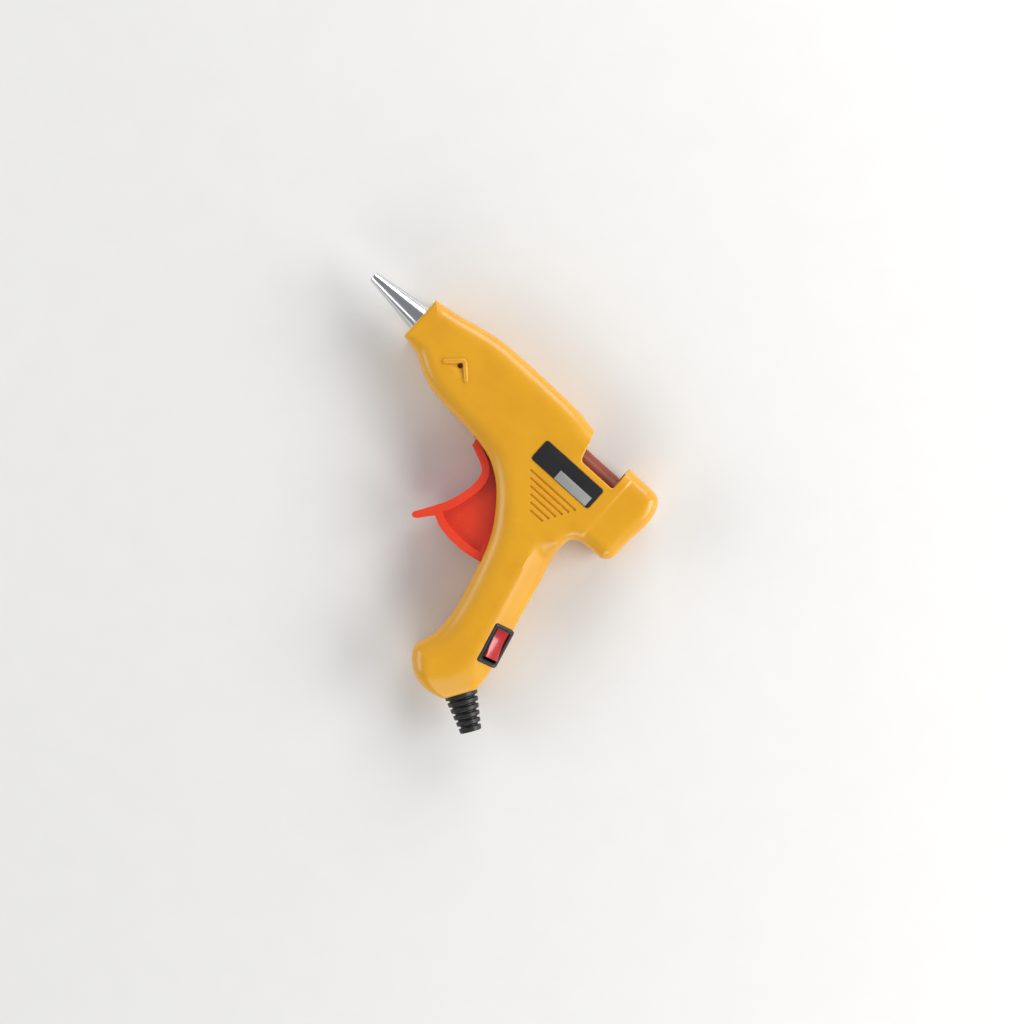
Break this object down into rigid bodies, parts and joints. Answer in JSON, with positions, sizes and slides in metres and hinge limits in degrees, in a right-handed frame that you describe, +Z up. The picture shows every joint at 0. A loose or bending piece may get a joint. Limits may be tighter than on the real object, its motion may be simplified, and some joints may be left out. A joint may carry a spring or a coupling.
{
  "type": "glue gun",
  "caption": "Small hand-held hot-melt glue gun: two-piece housing, conical metal nozzle, swinging trigger that feeds a stick, rocker switch, cable boot.",
  "frame": {"origin": "centre of the bounding box's base; the gun lies flat on its right side", "axes": "+X rearwards along the barrel, from the nozzle's tip; +Y the gun's up, handle towards -Y; +Z up, the gun's left side"},
  "size_m": [0.1492, 0.1246, 0.0255],
  "materials": {
    "housing_yellow": "glossy moulded ABS, warm yellow",
    "nozzle_aluminium": "turned and polished",
    "steel": "plain bright steel",
    "cast_aluminium": "dull die cast",
    "ceramic": "fired ceramic pill",
    "brass": "stamped brass",
    "insulation_film": "amber polyimide film",
    "silicone_red": "soft silicone",
    "black_plastic": "satin moulded plastic",
    "carriage_plastic": "red-brown heat-proof plastic",
    "trigger_red": "glossy red-orange moulded plastic",
    "switch_black": "satin black nylon",
    "rocker_red": "translucent-looking red plastic",
    "wire_brown": "glass-braided sleeve",
    "wire_blue": "glass-braided sleeve",
    "terminal_nylon": "natural nylon",
    "boot_rubber": "black PVC",
    "black_steel": "blackened steel",
    "label_black": "printed film, blank",
    "sticker_silver": "metallised film, blank"
  },
  "bodies": {
    "housing": {"left_housing": "housing_yellow", "right_housing": "housing_yellow", "nozzle": "nozzle_aluminium", "anti_drip_spring": "steel", "melt_chamber": "cast_aluminium", "ptc_heater": "ceramic", "heater_electrodes": "brass", "heater_insulation": "insulation_film", "inlet_sleeve": "silicone_red", "sleeve_ring": "steel", "stick_guide": "black_plastic", "trigger_pin": "steel", "return_spring": "steel", "switch_frame": "switch_black", "switch_terminals": "brass", "wire_switched": "wire_brown", "wire_neutral": "wire_blue", "wire_live": "wire_brown", "terminal_block": "terminal_nylon", "terminal_screws": "steel", "cord_clamp": "black_plastic", "cord_clamp_screws": "steel", "strain_relief": "boot_rubber", "housing_screws": "black_steel", "rating_label": "label_black", "label_sticker": "sticker_silver"},
    "trigger": {"trigger": "trigger_red"},
    "carriage": {"feed_carriage": "carriage_plastic", "gripper_pin": "steel"},
    "gripper": {"stick_gripper": "steel"},
    "rocker": {"switch_rocker": "rocker_red"},
    "ball": {"anti_drip_ball": "steel"}
  },
  "joints": [
    {"name": "trigger_pivot", "type": "hinge", "parent": "housing", "child": "trigger", "pos_m": [0.01976, 0.03203, 0.0125], "axis": [0, 0, 1], "range_deg": [0, 18], "stiffness_Nm_per_rad": 0.25, "springref_deg": -17.19, "deforming": ["return_spring"]},
    {"name": "feed_slide", "type": "slide", "parent": "housing", "child": "carriage", "axis": [-1, 0, 0], "range_m": [0, 0.00495]},
    {"name": "gripper_tilt", "type": "hinge", "parent": "carriage", "child": "gripper", "pos_m": [0.02986, 0.03963, 0.0125], "axis": [0, 0, 1], "range_deg": [0, 8.01]},
    {"name": "switch_rock", "type": "hinge", "parent": "housing", "child": "rocker", "pos_m": [0.05485, -0.02775, 0.0182], "axis": [0.7653, 0.188, -0.6157], "range_deg": [0, 16]},
    {"name": "ball_slide", "type": "slide", "parent": "housing", "child": "ball", "axis": [-1, 0, 0], "range_m": [0, 0.0012], "stiffness_N_per_m": 50, "springref_m": -0.001, "deforming": ["anti_drip_spring"]}
  ],
  "couplings": [
    {"joint": "feed_slide", "follows": "trigger_pivot", "m_per_rad": 0.01573},
    {"joint": "gripper_tilt", "follows": "trigger_pivot", "ratio": 0.4444}
  ]
}
